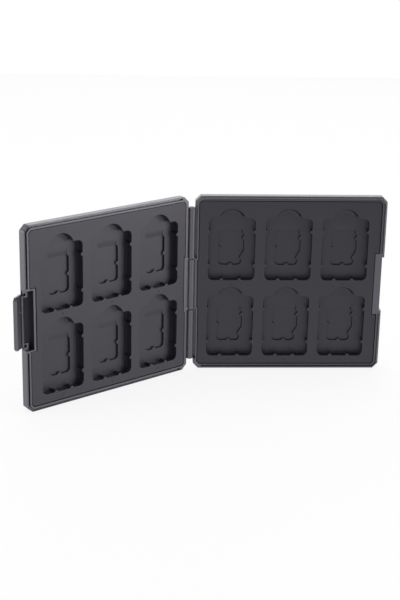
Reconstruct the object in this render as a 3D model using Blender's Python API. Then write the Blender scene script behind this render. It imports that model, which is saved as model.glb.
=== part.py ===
"""Game card case: two moulded halves on a pinned hinge, each with a six-pocket card tray.

Both halves are drawn in one panel frame: u runs from the hinge axis to the free edge,
t runs from the hinge plane into the half (positive towards its back) and z is up from
the middle of the panel. The lid is the same frame mirrored across the hinge plane and
turned about the hinge. The case stands open on its lower walls, as a book stands, with the
origin in the middle of the base's lower wall.
"""

import math

import bmesh
import bpy

# Both halves
HALF_DEPTH = 0.0078
SIDE_DEPTH = 0.0044
CORNER_CHAMFER = 0.0027
RIM_EASE = 0.00045
RIM_SETBACK = 0.00015
FLOOR_THICKNESS = 0.0015
LID_OPENING = math.radians(143.2)
FOOT_DEPTH = 0.0025

# Walls of the two shells
RIM_WALL = 0.0023
BASE_HINGE_WALL = 0.00185
LID_HINGE_WALL = 0.0017

# Tongue on the base and groove in the lid
TONGUE_INSET = 0.00065
TONGUE_THICKNESS = 0.0006
TONGUE_HEIGHT = 0.0012
TONGUE_START = 0.0042
SEAL_CLEARANCE = 0.00015
SEAL_FLOOR_GAP = 0.0003
MOAT_WIDTH = 0.00055
MOAT_DEPTH = 0.0009

# Hinge
HINGE_REACH = 0.00175
BARREL_RADIUS = 0.0017
BARREL_LENGTH = 0.0795
KNUCKLE_GAP = 0.0003
WEB_SETBACK = 0.0003
BASE_HINGE_RELIEF = 0.0012
LID_HINGE_RELIEF = 0.0003
HINGE_RELIEF_DEPTH = 0.0034
HINGE_RELIEF_END = 0.0006
HINGE_PIN_RADIUS = 0.0008
HINGE_PIN_CLEARANCE = 0.0001
HINGE_PIN_RECESS = 0.0014

# Trays
TRAY_SETBACK = 0.0003
TRAY_FACE = 0.0012
TRAY_CLEARANCE = 0.0003
TRAY_SKIRT = 0.0011
TRAY_SKIRT_DEPTH = 0.0041
TRAY_CORNER = 0.0012
CUP_WALL = 0.0009
TAB_REACH = 0.00055
TAB_HEIGHT = 0.0242
BOSS_REACH = 0.0007
BOSS_HEIGHT = 0.0286

# Game card pockets
CARD_COLUMNS = 3
CARD_ROWS = 2
COLUMN_WEB = 0.00506
ROW_WEB = 0.00843
MARGIN_HINGE = 0.00457
MARGIN_FREE = 0.00596
MARGIN_TOP = 0.00879
MARGIN_FOOT = 0.00418
POCKET_WIDTH = 0.0234
POCKET_HEIGHT = 0.0321
POCKET_FLOOR = 0.00426
POCKET_CORNER = 0.0026
NUB_RADIUS = 0.001
SIDE_NUB_SPACING = 0.0176
SIDE_NUB_RISE = 0.00025
BOTTOM_NUB_SPACING = 0.009
BOTTOM_NUB_SHIFT = -0.0003
THUMB_RADIUS = 0.00695
THUMB_RISE = 0.00475
THUMB_FILLET = 0.0008
THUMB_LIP = 0.0013

# Memory card recess in the floor of each pocket
MEMORY_WIDTH = 0.013
MEMORY_STEP = 0.0014
MEMORY_BOTTOM = -0.00902
MEMORY_TOP = 0.0089
MEMORY_DEPTH = 0.001
MEMORY_CORNER = 0.0015
MEMORY_NUB_RADIUS = 0.0006
MEMORY_FOOT_NUB_RADIUS = 0.0007
MEMORY_STEP_TOP = -0.0016
MEMORY_STEP_NUB = -0.0055
MEMORY_STEP_NUB_RADIUS = 0.00085
MEMORY_SHOULDER_NUB = 0.0057
RAMP_WIDTH = 0.0106
RAMP_LENGTH = 0.0025

# Latch window in the lid
WINDOW_DEPTH = 0.00425
WINDOW_HEIGHT = 0.0291
WINDOW_FRAME = 0.0011
WINDOW_END_WALL = 0.0007
WINDOW_BACK = 0.0045
BEARING_INSET = 0.00235
BEARING_FRONT = 0.001
BEARING_SLOT = 0.0008
BEARING_POCKET_WALL = 0.0006
BEARING_POCKET_HEIGHT = 0.00145
BEARING_POCKET_INSET = 0.0014
BEARING_POCKET_FLOOR = 0.0041
WINDOW_TRAY_GAP = 0.0006

# Latch
LATCH_HEIGHT = 0.0259
LATCH_END_GAP = 0.0003
LATCH_LENGTH = 0.00843
LATCH_PIVOT_INSET = 0.0007
LATCH_PIVOT_DEPTH = 0.00324
LATCH_PLATE = 0.0009
LATCH_PLATE_START = 0.0015
LATCH_ROOT_HEIGHT = 0.0217
LATCH_RIB_HEIGHT = 0.0249
LATCH_RIB_END = 0.00273
LATCH_LIP_LENGTH = 0.00075
LATCH_LIP_REACH = 0.0011
LATCH_TIP_CHAMFER = 0.0013
LATCH_TIP_EASE = 0.0002
LATCH_PIN_RADIUS = 0.00045
LATCH_PIN_CLEARANCE = 0.0001
LATCH_PIN_RECESS = 0.00015
LATCH_OPENING = math.radians(59.0)

# Catch on the free edge of the base
CATCH_HEIGHT = 0.032
CATCH_WIDTH = 0.00455
CATCH_RECESS = 0.0011
CATCH_RECESS_HEIGHT = 0.0282
CATCH_HOOK_GAP = 0.0003
NIB_RADIUS = 0.0006
NIB_SINK = 0.0003
NIB_HEIGHTS = (0.0051, 0.0002)
LATCH_NIB_HEIGHT = 0.0047
LATCH_NIB_REACH = 0.0031
LATCH_NIB_RADIUS = 0.00045
LATCH_NIB_SINK = 0.00015

# The panel, worked out from the pockets that it holds
COLUMNS_WIDTH = CARD_COLUMNS * POCKET_WIDTH + (CARD_COLUMNS - 1) * COLUMN_WEB
ROWS_HEIGHT = CARD_ROWS * POCKET_HEIGHT + (CARD_ROWS - 1) * ROW_WEB
PANEL_WIDTH = (BASE_HINGE_WALL + TRAY_CLEARANCE + MARGIN_HINGE + COLUMNS_WIDTH
               + MARGIN_FREE + TRAY_CLEARANCE + RIM_WALL)
PANEL_HEIGHT = MARGIN_FOOT + ROWS_HEIGHT + MARGIN_TOP + 2 * (RIM_WALL + TRAY_CLEARANCE)
FIRST_COLUMN = HINGE_REACH + BASE_HINGE_WALL + TRAY_CLEARANCE + MARGIN_HINGE + POCKET_WIDTH / 2
FIRST_ROW = RIM_WALL + TRAY_CLEARANCE + MARGIN_FOOT + (POCKET_HEIGHT - PANEL_HEIGHT) / 2

# Other values worked out from the sizes above
FREE_EDGE = HINGE_REACH + PANEL_WIDTH
HALF_HEIGHT = PANEL_HEIGHT / 2
SHELL_FLOOR = HALF_DEPTH - FLOOR_THICKNESS
TRAY_FLOOR = SHELL_FLOOR - TRAY_CLEARANCE
MEMORY_FLOOR = POCKET_FLOOR + MEMORY_DEPTH
KNUCKLE_LENGTH = (BARREL_LENGTH - 2 * KNUCKLE_GAP) / 3
WINDOW_INNER = FREE_EDGE - WINDOW_DEPTH
PIVOT_U = FREE_EDGE - LATCH_PIVOT_INSET
PIVOT_T = LATCH_PIVOT_DEPTH
BEARING_FACE = LATCH_ROOT_HEIGHT / 2 + LATCH_END_GAP
HOOK_START = LATCH_LENGTH - LATCH_LIP_LENGTH
SHOULDER_T = HOOK_START - PIVOT_T - CATCH_HOOK_GAP
HOOK_CLEAR_U = PIVOT_U - LATCH_LIP_REACH - CATCH_HOOK_GAP

# How far cutters run past the faces that they cut
PAST = 0.002
OVERLAP = 0.0003
ARC_STEP = math.radians(22.5)
ROUND_SIDES = 28
DIAGONAL = 2 - math.sqrt(2)

BASE_SIDE = 1
LID_SIDE = -1


def clear_scene():
    """Removes whatever the scene holds before the case is built."""
    for item in list(bpy.data.objects):
        bpy.data.objects.remove(item, do_unlink=True)


def arc(centre, radius, start, end, step=ARC_STEP):
    """Points of an arc in the panel's plane, with both ends, from start to end in degrees."""
    a0, a1 = math.radians(start), math.radians(end)
    count = max(2, round(abs(a1 - a0) / step))
    angles = [a0 + (a1 - a0) * i / count for i in range(count + 1)]
    return [(centre[0] + radius * math.cos(a), centre[1] + radius * math.sin(a)) for a in angles]


def counter_clockwise(points):
    """The same outline, turned round where it runs clockwise."""
    area = sum(p[0] * q[1] - q[0] * p[1] for p, q in zip(points, points[1:] + points[:1]))
    return points if area > 0 else points[::-1]


def chamfered(u0, u1, z0, z1, leg):
    """A rectangle with its four corners cut at 45 degrees."""
    return [
        (u0 + leg, z0), (u1 - leg, z0), (u1, z0 + leg), (u1, z1 - leg),
        (u1 - leg, z1), (u0 + leg, z1), (u0, z1 - leg), (u0, z0 + leg),
    ]


def rectangle(u0, u1, z0, z1):
    """A plain rectangle."""
    return [(u0, z0), (u1, z0), (u1, z1), (u0, z1)]


def stepped(points, reach, top):
    """A chamfered outline whose hinge side steps out over a middle band, or in if reach is negative."""
    near = points[-1][0]
    step = [(near, top), (near - reach, top), (near - reach, -top), (near, -top)]
    return points[:-1] + step + points[-1:]


def panel_outline(inset, hinge_inset=None):
    """The panel's chamfered outline, drawn in by the given wall thickness."""
    hinge_inset = inset if hinge_inset is None else hinge_inset
    leg = max(CORNER_CHAMFER - inset * DIAGONAL, RIM_EASE)
    edge = HALF_HEIGHT - inset
    return chamfered(HINGE_REACH + hinge_inset, FREE_EDGE - inset, -edge, edge, leg)


def edge_strip(outer, inner, start, stop, upper):
    """A strip that follows the rim: along the top or bottom wall, round the corner, down the free edge."""
    def run(inset):
        leg = CORNER_CHAMFER - inset * DIAGONAL
        edge = HALF_HEIGHT - inset
        far = FREE_EDGE - inset
        return [(start, edge), (far - leg, edge), (far, edge - leg), (far, stop)]

    points = run(outer) + run(inner)[::-1]
    if not upper:
        points = [(u, -z) for u, z in points]
    return counter_clockwise(points)


class Half:
    """One half of the case: which way it faces, and the empty that carries its pieces."""

    def __init__(self, name, side, turn):
        self.side = side
        self.frame = bpy.data.objects.new(name, None)
        bpy.context.scene.collection.objects.link(self.frame)
        self.frame.location = (-HINGE_REACH - PANEL_WIDTH / 2, -FOOT_DEPTH, HALF_HEIGHT)
        self.frame.rotation_euler = (0, 0, turn)

    def place(self, u, t, z):
        """Panel coordinates as a point in this half's frame."""
        return (u, self.side * t, z)

    def mesh(self, name, sections):
        """A closed mesh lofted through outlines (t, points) that all have as many points."""
        count = len(sections[0][1])
        verts = [self.place(u, t, z) for t, outline in sections for u, z in outline]
        faces = [list(range(count)), [len(verts) - 1 - i for i in range(count)]]
        for layer in range(len(sections) - 1):
            a, b = layer * count, (layer + 1) * count
            for i in range(count):
                j = (i + 1) % count
                faces.append([a + j, a + i, b + i, b + j])
        if self.side < 0:
            faces = [face[::-1] for face in faces]
        data = bpy.data.meshes.new(name)
        data.from_pydata(verts, [], faces)
        data.validate()
        return data

    def add(self, name, data, parent=None):
        """Links a mesh as an object carried by this half."""
        item = bpy.data.objects.new(name, data)
        bpy.context.scene.collection.objects.link(item)
        item.parent = parent or self.frame
        return item

    def loft(self, name, sections):
        """An object lofted through the outlines."""
        return self.add(name, self.mesh(name, sections))

    def prism(self, name, outline, t0, t1):
        """An object of one outline between two depths."""
        return self.loft(name, [(t0, outline), (t1, outline)])

    def prisms(self, name, outlines, t0, t1):
        """One object that holds a prism for each outline."""
        build = bmesh.new()
        for outline in outlines:
            piece = self.mesh(name, [(t0, outline), (t1, outline)])
            build.from_mesh(piece)
            bpy.data.meshes.remove(piece)
        data = bpy.data.meshes.new(name)
        build.to_mesh(data)
        build.free()
        return self.add(name, data)

    def box(self, name, u0, u1, t0, t1, z0, z1):
        """A box between two corners in panel coordinates."""
        return self.prism(name, rectangle(u0, u1, z0, z1), t0, t1)

    def rods(self, name, u, t, radius, spans, sides=ROUND_SIDES):
        """Upright round bars on one axis, one for each span of z."""
        build = bmesh.new()
        for z0, z1 in spans:
            made = bmesh.ops.create_cone(
                build, cap_ends=True, segments=sides,
                radius1=radius, radius2=radius, depth=z1 - z0)
            centre = self.place(u, t, (z0 + z1) / 2)
            bmesh.ops.translate(build, verts=made["verts"], vec=centre)
        data = bpy.data.meshes.new(name)
        build.to_mesh(data)
        build.free()
        return self.add(name, data)


def combine(item, tool, operation):
    """Joins a tool to an object, or cuts it out, with a Boolean that stays live."""
    step = item.modifiers.new(f"{operation.lower()} {tool.name}", "BOOLEAN")
    step.operation = operation
    step.solver = "EXACT"
    step.object = tool
    tool.hide_render = True
    tool.display_type = "WIRE"


def join(item, tool):
    """Fuses the tool with the object."""
    combine(item, tool, "UNION")


def cut(item, tool):
    """Cuts the tool out of the object."""
    combine(item, tool, "DIFFERENCE")


def finish(item, colour, roughness, metallic=0.0):
    """Gives a piece its own material, and smooth shading where its faces turn gently."""
    material = bpy.data.materials.new(item.name)
    material.use_nodes = True
    shader = material.node_tree.nodes["Principled BSDF"]
    shader.inputs["Base Color"].default_value = (*colour, 1.0)
    shader.inputs["Roughness"].default_value = roughness
    shader.inputs["Metallic"].default_value = metallic
    material.diffuse_color = (*colour, 1.0)
    item.data.materials.append(material)
    item.data.shade_smooth()
    item.data.set_sharp_from_angle(angle=math.radians(32))


def shell_body(half, name, wall, hinge_wall):
    """A shallow moulded pan: eased rim, straight sides, bevelled back and an open front."""
    item = half.loft(name, [
        (RIM_SETBACK, panel_outline(RIM_EASE)),
        (RIM_SETBACK + RIM_EASE * 0.3, panel_outline(RIM_EASE * 0.3)),
        (RIM_SETBACK + RIM_EASE, panel_outline(0)),
        (SIDE_DEPTH, panel_outline(0)),
        (HALF_DEPTH, panel_outline(HALF_DEPTH - SIDE_DEPTH)),
    ])
    taper = SHELL_FLOOR - SIDE_DEPTH
    hollow = half.loft(f"{name}_hollow", [
        (-PAST, panel_outline(wall, hinge_wall)),
        (SIDE_DEPTH, panel_outline(wall, hinge_wall)),
        (SHELL_FLOOR, panel_outline(wall + taper, hinge_wall + taper)),
    ])
    cut(item, hollow)
    return item


def knuckle_spans():
    """Heights of the three knuckles, bottom to top."""
    pitch = KNUCKLE_LENGTH + KNUCKLE_GAP
    start = -BARREL_LENGTH / 2
    return [(start + i * pitch, start + i * pitch + KNUCKLE_LENGTH) for i in range(3)]


def add_knuckles(half, item, spans):
    """Barrel knuckles and the web that ties each to its own shell's wall."""
    for i, (z0, z1) in enumerate(spans):
        barrel = half.rods(f"{item.name}_knuckle_{i}", 0, 0, BARREL_RADIUS, [(z0, z1)])
        web = half.box(f"{item.name}_web_{i}", 0, HINGE_REACH + OVERLAP,
                       WEB_SETBACK, BARREL_RADIUS, z0, z1)
        join(item, web)
        join(item, barrel)
    length = BARREL_LENGTH / 2 + PAST
    bore = half.rods(f"{item.name}_bore", 0, 0, HINGE_PIN_RADIUS + HINGE_PIN_CLEARANCE,
                     [(-length, length)])
    cut(item, bore)


def relieve_hinge_wall(half, item, spans, relief):
    """Cuts the hinge wall back beside the knuckles that the other half carries."""
    for i, (z0, z1) in enumerate(spans):
        notch = half.box(f"{item.name}_relief_{i}", -PAST, HINGE_REACH + relief,
                         -PAST, HINGE_RELIEF_DEPTH, z0, z1)
        cut(item, notch)


def build_base_shell(half):
    """The half that faces forward: tongue round its rim, middle knuckle and the catch."""
    item = shell_body(half, "base_shell", RIM_WALL, BASE_HINGE_WALL)
    catch_top = CATCH_HEIGHT / 2
    block = half.box("base_shell_catch", FREE_EDGE - CATCH_WIDTH, FREE_EDGE - RIM_WALL + OVERLAP,
                     RIM_SETBACK, SHELL_FLOOR + OVERLAP, -catch_top, catch_top)
    join(item, block)

    wall_face = HINGE_REACH + BASE_HINGE_WALL
    tab_top = TAB_HEIGHT / 2 + TRAY_CLEARANCE
    seat = half.box("base_shell_tab_seat", wall_face - TAB_REACH, wall_face + OVERLAP,
                    -PAST, TRAY_SKIRT_DEPTH + TRAY_CLEARANCE, -tab_top, tab_top)
    cut(item, seat)

    start = HINGE_REACH + TONGUE_START
    inner = TONGUE_INSET + TONGUE_THICKNESS
    for word, upper in (("upper", True), ("lower", False)):
        tongue = half.prism(
            f"base_shell_tongue_{word}",
            edge_strip(TONGUE_INSET, inner, start, catch_top + OVERLAP, upper),
            RIM_SETBACK - TONGUE_HEIGHT, RIM_SETBACK + OVERLAP)
        join(item, tongue)
        moat = half.prism(
            f"base_shell_moat_{word}",
            edge_strip(inner, inner + MOAT_WIDTH, start, catch_top, upper),
            -PAST, RIM_SETBACK + MOAT_DEPTH)
        cut(item, moat)

    lower, middle, top = knuckle_spans()
    end = BARREL_LENGTH / 2 + HINGE_RELIEF_END
    relieve_hinge_wall(half, item,
                       [(-end, lower[1] + KNUCKLE_GAP), (top[0] - KNUCKLE_GAP, end)],
                       BASE_HINGE_RELIEF)
    add_knuckles(half, item, [middle])

    recess_top = CATCH_RECESS_HEIGHT / 2
    recess = half.box("base_shell_latch_recess", FREE_EDGE - CATCH_RECESS, FREE_EDGE + PAST,
                      -PAST, SHOULDER_T + OVERLAP, -recess_top, recess_top)
    cut(item, recess)
    hook_room = half.box("base_shell_hook_room", HOOK_CLEAR_U, FREE_EDGE + PAST,
                         SHOULDER_T, HALF_DEPTH + PAST, -recess_top, recess_top)
    cut(item, hook_room)
    for i, height in enumerate(NIB_HEIGHTS):
        nib = upright_nib(half, f"base_shell_nib_{i}", FREE_EDGE - CATCH_RECESS - NIB_SINK,
                          SHOULDER_T - NIB_RADIUS, height, NIB_RADIUS)
        join(item, nib)
    finish(item, (0.021, 0.021, 0.023), 0.42)
    return item


def upright_nib(half, name, u, t, z, radius):
    """A small round nib for the latch's detent, centred in its wall."""
    build = bmesh.new()
    bmesh.ops.create_icosphere(build, subdivisions=2, radius=radius)
    bmesh.ops.translate(build, verts=build.verts, vec=half.place(u, t, z))
    data = bpy.data.meshes.new(name)
    build.to_mesh(data)
    build.free()
    return half.add(name, data)


def build_lid_shell(half):
    """The half that carries the latch: groove round its rim, outer knuckles, latch window."""
    item = shell_body(half, "lid_shell", RIM_WALL, LID_HINGE_WALL)
    frame_top = WINDOW_HEIGHT / 2 + WINDOW_END_WALL
    block = half.box("lid_shell_window_block", WINDOW_INNER - WINDOW_FRAME,
                     FREE_EDGE - RIM_WALL + OVERLAP,
                     RIM_SETBACK, SHELL_FLOOR + OVERLAP, -frame_top, frame_top)
    join(item, block)

    wall_face = HINGE_REACH + LID_HINGE_WALL
    boss = half.box("lid_shell_boss", wall_face - OVERLAP, wall_face + BOSS_REACH,
                    RIM_SETBACK, SHELL_FLOOR + OVERLAP, -BOSS_HEIGHT / 2, BOSS_HEIGHT / 2)
    join(item, boss)

    start = HINGE_REACH + TONGUE_START - SEAL_FLOOR_GAP
    stop = min(CATCH_HEIGHT / 2, frame_top + OVERLAP)
    outer = TONGUE_INSET - SEAL_CLEARANCE
    inner = TONGUE_INSET + TONGUE_THICKNESS + SEAL_CLEARANCE
    for word, upper in (("upper", True), ("lower", False)):
        groove = half.prism(
            f"lid_shell_groove_{word}", edge_strip(outer, inner, start, stop, upper),
            -PAST, TONGUE_HEIGHT - RIM_SETBACK + SEAL_FLOOR_GAP)
        cut(item, groove)

    lower, middle, top = knuckle_spans()
    relieve_hinge_wall(half, item, [(middle[0] - KNUCKLE_GAP, middle[1] + KNUCKLE_GAP)],
                       LID_HINGE_RELIEF)
    add_knuckles(half, item, [lower, top])
    cut_latch_window(half, item)
    finish(item, (0.022, 0.022, 0.024), 0.42)
    return item


def cut_latch_window(half, item):
    """The opening where the latch swings. Each end has a lug, cored out from the front."""
    window_top = WINDOW_HEIGHT / 2
    outside = FREE_EDGE + PAST
    slot_half = BEARING_SLOT / 2
    boxes = {
        "opening": (WINDOW_INNER, outside, -PAST, WINDOW_BACK, BEARING_FACE),
        "front": (WINDOW_INNER, outside, -PAST, PIVOT_T - BEARING_FRONT, window_top),
        "side": (WINDOW_INNER, FREE_EDGE - BEARING_INSET, -PAST, WINDOW_BACK, window_top),
        "slot": (PIVOT_U, outside, PIVOT_T - slot_half, PIVOT_T + slot_half, window_top),
    }
    for word, (u0, u1, t0, t1, top) in boxes.items():
        cut(item, half.box(f"lid_shell_window_{word}", u0, u1, t0, t1, -top, top))
    foot = BEARING_FACE + BEARING_POCKET_WALL
    for word, side in (("upper", 1), ("lower", -1)):
        z0, z1 = sorted((side * foot, side * (foot + BEARING_POCKET_HEIGHT)))
        cut(item, half.box(f"lid_shell_bearing_pocket_{word}", FREE_EDGE - BEARING_POCKET_INSET,
                           outside, -PAST, BEARING_POCKET_FLOOR, z0, z1))
    bore = half.rods("lid_shell_bearing", PIVOT_U, PIVOT_T,
                     LATCH_PIN_RADIUS + LATCH_PIN_CLEARANCE, [(-window_top, window_top)])
    cut(item, bore)


def pocket_centres():
    """Middle of each pocket, column by column away from the hinge."""
    columns = [FIRST_COLUMN + i * (POCKET_WIDTH + COLUMN_WEB) for i in range(CARD_COLUMNS)]
    rows = [FIRST_ROW + i * (POCKET_HEIGHT + ROW_WEB) for i in range(CARD_ROWS)]
    return [(u, z) for u in columns for z in rows]


def thumb_arc(u, top, radius, fillet):
    """The thumb notch above a pocket, right to left, with a small fillet where it meets the edge."""
    centre_z = top + THUMB_RISE - THUMB_RADIUS
    lift = top + fillet - centre_z
    reach = math.sqrt((radius + fillet) ** 2 - lift ** 2)
    lean = math.degrees(math.atan2(lift, reach))
    right = arc((u + reach, top + fillet), fillet, 270, 180 + lean)
    left = arc((u - reach, top + fillet), fillet, -lean, -90)
    crown = arc((u, centre_z), radius, lean, 180 - lean, ARC_STEP * 0.6)
    return right + crown[1:-1] + left


def pocket_outline(u, z):
    """A game card pocket with its nubs, and the first and last point of the thumb notch above."""
    half_w, half_h = POCKET_WIDTH / 2, POCKET_HEIGHT / 2
    r = POCKET_CORNER
    left, right, low, top = u - half_w, u + half_w, z - half_h, z + half_h
    middle = z + SIDE_NUB_RISE
    heights = (middle - SIDE_NUB_SPACING / 2, middle + SIDE_NUB_SPACING / 2)
    feet = [u + BOTTOM_NUB_SHIFT + s * BOTTOM_NUB_SPACING / 2 for s in (-1, 1)]
    nub_step = ARC_STEP * 2
    points = arc((left + r, low + r), r, 180, 270)
    for foot in feet:
        points += arc((foot, low), NUB_RADIUS, 180, 0, nub_step)
    points += arc((right - r, low + r), r, 270, 360)
    for height in heights:
        points += arc((right, height), NUB_RADIUS, 270, 90, nub_step)
    points += arc((right - r, top - r), r, 0, 90)
    first = len(points)
    points += thumb_arc(u, top, THUMB_RADIUS, THUMB_FILLET)
    last = len(points) - 1
    points += arc((left + r, top - r), r, 90, 180)
    for height in heights[::-1]:
        points += arc((left, height), NUB_RADIUS, 90, -90, nub_step)
    return points, first, last


def cup_outline(u, z):
    """The moulded cup round a pocket, seen from behind the tray."""
    half_w = POCKET_WIDTH / 2 + CUP_WALL
    half_h = POCKET_HEIGHT / 2
    r = POCKET_CORNER + CUP_WALL
    left, right = u - half_w, u + half_w
    low, top = z - half_h - CUP_WALL, z + half_h + CUP_WALL
    points = arc((left + r, low + r), r, 180, 270) + arc((right - r, low + r), r, 270, 360)
    points += arc((right - r, top - r), r, 0, 90)
    points += thumb_arc(u, z + half_h, THUMB_RADIUS + CUP_WALL, THUMB_FILLET)[2:-2]
    points += arc((left + r, top - r), r, 90, 180)
    return points


def memory_outline(u, z):
    """A memory card recess: stepped on the side away from the hinge, with its locating nubs."""
    left, right = u - MEMORY_WIDTH / 2, u + MEMORY_WIDTH / 2
    narrow = right - MEMORY_STEP
    low, top = z + MEMORY_BOTTOM, z + MEMORY_TOP
    r = MEMORY_CORNER
    nub_step = ARC_STEP * 2
    points = arc((left + r, low + r), r, 180, 270, nub_step)
    points += arc((u + BOTTOM_NUB_SHIFT, low), MEMORY_FOOT_NUB_RADIUS, 180, 0, nub_step)
    points += arc((narrow - r, low + r), r, 270, 360, nub_step)
    points += arc((narrow, z + MEMORY_STEP_NUB), MEMORY_STEP_NUB_RADIUS, 270, 150, nub_step)
    points += [(right, z + MEMORY_STEP_TOP)]
    points += arc((right, z + MEMORY_SHOULDER_NUB), MEMORY_NUB_RADIUS, 270, 90, nub_step)
    points += arc((right - r, top - r), r, 0, 90, nub_step)
    points += arc((left + r, top - r), r, 90, 180, nub_step)
    points += arc((left, z), MEMORY_NUB_RADIUS, 90, -90, nub_step)
    return points


def pocket_cutters(half, name):
    """The pockets in one object: flat floors, and thumb notches that slope up to a thin lip."""
    build = bmesh.new()
    slope = (POCKET_FLOOR - THUMB_LIP) / THUMB_RISE
    for u, z in pocket_centres():
        outline, first, last = pocket_outline(u, z)
        top = z + POCKET_HEIGHT / 2
        front, back = [], []
        for i, (across, height) in enumerate(outline):
            rise = height - top if first <= i <= last else 0
            front.append(build.verts.new(half.place(across, -PAST, height)))
            back.append(build.verts.new(half.place(across, POCKET_FLOOR - slope * rise, height)))
        build.faces.new(front)
        build.faces.new(back[first:last + 1])
        build.faces.new(back[:first + 1] + back[last:])
        for i in range(len(outline)):
            j = (i + 1) % len(outline)
            build.faces.new([front[j], front[i], back[i], back[j]])
    bmesh.ops.recalc_face_normals(build, faces=build.faces)
    data = bpy.data.meshes.new(name)
    build.to_mesh(data)
    build.free()
    return half.add(name, data)


def ramp_cutters(half, name):
    """The fingernail ramp above each memory card recess, as wedges in one object."""
    build = bmesh.new()
    clear = POCKET_FLOOR - OVERLAP
    deep = MEMORY_FLOOR - 0.1 * OVERLAP
    slope = (deep - POCKET_FLOOR) / RAMP_LENGTH
    for u, z in pocket_centres():
        foot = z + MEMORY_TOP
        rise = foot + RAMP_LENGTH + OVERLAP / slope
        profile = [(clear, foot - OVERLAP), (deep, foot - OVERLAP), (deep, foot), (clear, rise)]
        rings = []
        for x in (u - RAMP_WIDTH / 2, u + RAMP_WIDTH / 2):
            rings.append([build.verts.new(half.place(x, t, height)) for t, height in profile])
        faces = [rings[0], rings[1][::-1]]
        for i in range(4):
            j = (i + 1) % 4
            faces.append([rings[0][j], rings[0][i], rings[1][i], rings[1][j]])
        for face in faces:
            build.faces.new(face)
    bmesh.ops.recalc_face_normals(build, faces=build.faces)
    data = bpy.data.meshes.new(name)
    build.to_mesh(data)
    build.free()
    return half.add(name, data)


def build_tray(half, name, hinge_wall, step, notch, colour):
    """A card tray: face plate, pocket cups, a skirt with a step in it and a notch for the latch."""
    near = HINGE_REACH + hinge_wall + TRAY_CLEARANCE
    far = FREE_EDGE - RIM_WALL - TRAY_CLEARANCE
    edge = HALF_HEIGHT - RIM_WALL - TRAY_CLEARANCE
    w = TRAY_SKIRT
    behind = TRAY_SETBACK + TRAY_FACE - OVERLAP
    centres = pocket_centres()

    reach, step_top = step
    outside = stepped(chamfered(near, far, -edge, edge, TRAY_CORNER), reach, step_top)
    item = half.prism(name, outside, TRAY_SETBACK, TRAY_SKIRT_DEPTH)
    inside = stepped(chamfered(near + w, far - w, w - edge, edge - w, TRAY_CORNER),
                     reach, step_top - math.copysign(w, reach))
    cut(item, half.prism(f"{name}_hollow", inside, TRAY_SETBACK + TRAY_FACE, HALF_DEPTH))
    cups = half.prisms(f"{name}_cups", [cup_outline(*c) for c in centres], behind, TRAY_FLOOR)
    join(item, cups)
    cut(item, pocket_cutters(half, f"{name}_pockets"))
    recesses = half.prisms(f"{name}_memory", [memory_outline(*c) for c in centres],
                           POCKET_FLOOR - OVERLAP, MEMORY_FLOOR)
    cut(item, recesses)
    cut(item, ramp_cutters(half, f"{name}_ramps"))
    inner, top = notch
    cut(item, half.box(f"{name}_notch", inner, FREE_EDGE + PAST, -PAST, HALF_DEPTH, -top, top))
    finish(item, colour, 0.46)
    return item


def build_base_tray(half):
    """The base's tray, notched round the catch block, with a tab in the hinge wall's seat."""
    tab = (TAB_REACH, TAB_HEIGHT / 2)
    notch = (FREE_EDGE - CATCH_WIDTH - TRAY_CLEARANCE, CATCH_HEIGHT / 2 + TRAY_CLEARANCE)
    return build_tray(half, "base_tray", BASE_HINGE_WALL, tab, notch, (0.023, 0.023, 0.025))


def build_lid_tray(half):
    """The lid's tray, notched round the latch window and round the hinge wall's boss."""
    dent = (-BOSS_REACH, BOSS_HEIGHT / 2 + TRAY_CLEARANCE)
    notch = (WINDOW_INNER - WINDOW_FRAME - WINDOW_TRAY_GAP,
             WINDOW_HEIGHT / 2 + WINDOW_END_WALL + TRAY_CLEARANCE)
    return build_tray(half, "lid_tray", LID_HINGE_WALL, dent, notch, (0.025, 0.025, 0.027))


def build_hinge_pin(half):
    """The steel pin through the three knuckles, a little short of the barrel's ends."""
    length = BARREL_LENGTH / 2 - HINGE_PIN_RECESS
    item = half.rods("hinge_pin", 0, 0, HINGE_PIN_RADIUS, [(-length, length)])
    finish(item, (0.55, 0.55, 0.56), 0.3, 1.0)
    return item


def plate_profile(length):
    """Section of the plate and its lip about the pivot: outward is a, towards the hook is b."""
    return [
        (LATCH_PLATE, LATCH_PLATE_START), (LATCH_PLATE, length - LATCH_TIP_EASE),
        (LATCH_PLATE - LATCH_TIP_EASE, length), (-LATCH_LIP_REACH, length),
        (-LATCH_LIP_REACH, HOOK_START), (0, HOOK_START), (0, LATCH_PLATE_START),
    ]


def root_profile():
    """Section of the root round the pin, with a round end."""
    points = arc((0, 0), LATCH_PLATE, 180, 360)
    return points + [(LATCH_PLATE, LATCH_PLATE_START + OVERLAP),
                     (-LATCH_PLATE, LATCH_PLATE_START + OVERLAP)]


def latch_solid(name, levels):
    """A closed solid through sections at several heights, which all have as many points."""
    count = len(levels[0][1])
    build = bmesh.new()
    rings = [[build.verts.new((a, b, z)) for a, b in profile] for z, profile in levels]
    build.faces.new(rings[0])
    build.faces.new(rings[-1][::-1])
    for low, high in zip(rings, rings[1:]):
        for i in range(count):
            j = (i + 1) % count
            build.faces.new([low[j], low[i], high[i], high[j]])
    bmesh.ops.recalc_face_normals(build, faces=build.faces)
    data = bpy.data.meshes.new(name)
    build.to_mesh(data)
    build.free()
    return data


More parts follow.
